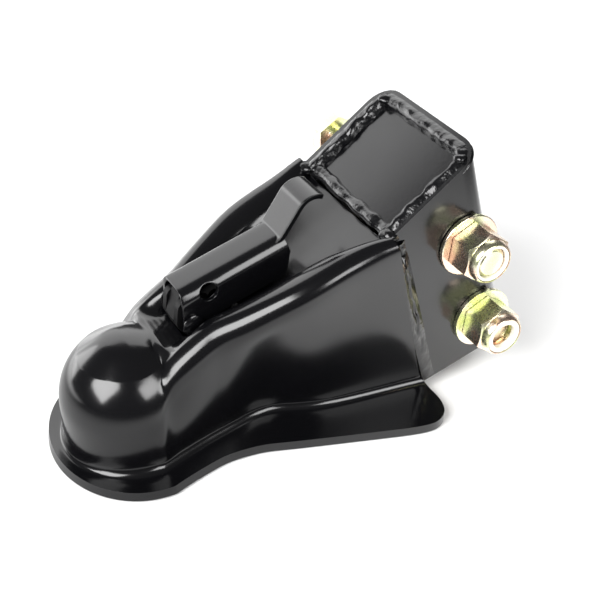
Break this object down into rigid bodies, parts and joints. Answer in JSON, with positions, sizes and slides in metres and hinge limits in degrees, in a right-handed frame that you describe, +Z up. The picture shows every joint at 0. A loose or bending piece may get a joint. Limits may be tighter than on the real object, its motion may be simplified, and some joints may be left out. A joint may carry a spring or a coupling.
{
  "type": "adjustable ball coupler",
  "caption": "Pressed-steel trailer ball coupler with a cam lever latch and a leaning bracket for two cross bolts.",
  "frame": {"origin": "on the level of the flange's underside, midway along the coupler and midway between the bolt heads and the flange's other edge, so the coupler's own middle is at x = 0.013", "axes": "+Y from the ball socket to the bolted bracket, +X to the side with the nuts, +Z up"},
  "size_m": [0.1706, 0.2436, 0.1375],
  "materials": {
    "black_powder_coat": "gloss black powder coat",
    "yellow_zinc": "yellow chromate zinc plate",
    "zinc_plate": "clear zinc plate",
    "cast_steel": "bare forged steel, oiled",
    "spring_steel": "drawn spring wire",
    "nylon": "natural nylon"
  },
  "bodies": {
    "housing": {"body_shell": "black_powder_coat", "rear_bracket": "black_powder_coat", "top_plate": "black_powder_coat", "top_plate_weld": "black_powder_coat", "side_weld_right": "black_powder_coat", "side_weld_left": "black_powder_coat", "latch_cheek_right": "black_powder_coat", "latch_cheek_left": "black_powder_coat", "lever_pin": "black_powder_coat", "lever_pin_clip": "zinc_plate", "clamp_pin": "zinc_plate", "clamp_pin_clip": "zinc_plate", "clamp_spring": "spring_steel", "bolt_upper": "yellow_zinc", "bolt_lower": "yellow_zinc", "nut_washer_upper": "yellow_zinc", "nut_washer_lower": "yellow_zinc", "lock_nut_upper": "yellow_zinc", "lock_nut_lower": "yellow_zinc", "nut_ring_upper": "nylon", "nut_ring_lower": "nylon"},
    "latch_lever": {"lever": "black_powder_coat", "lever_cam": "zinc_plate"},
    "clamp": {"ball_clamp": "cast_steel"}
  },
  "joints": [
    {"name": "lever_hinge", "type": "hinge", "parent": "housing", "child": "latch_lever", "pos_m": [0.013, -0.04898, 0.066], "axis": [1, 0, 0], "range_deg": [0, 75]},
    {"name": "clamp_hinge", "type": "hinge", "parent": "housing", "child": "clamp", "pos_m": [0.013, -0.02998, 0.046], "axis": [1, 0, 0], "range_deg": [0, 22]}
  ],
  "couplings": [
    {"joint": "clamp_hinge", "follows": "lever_hinge", "ratio": 0.29333}
  ]
}
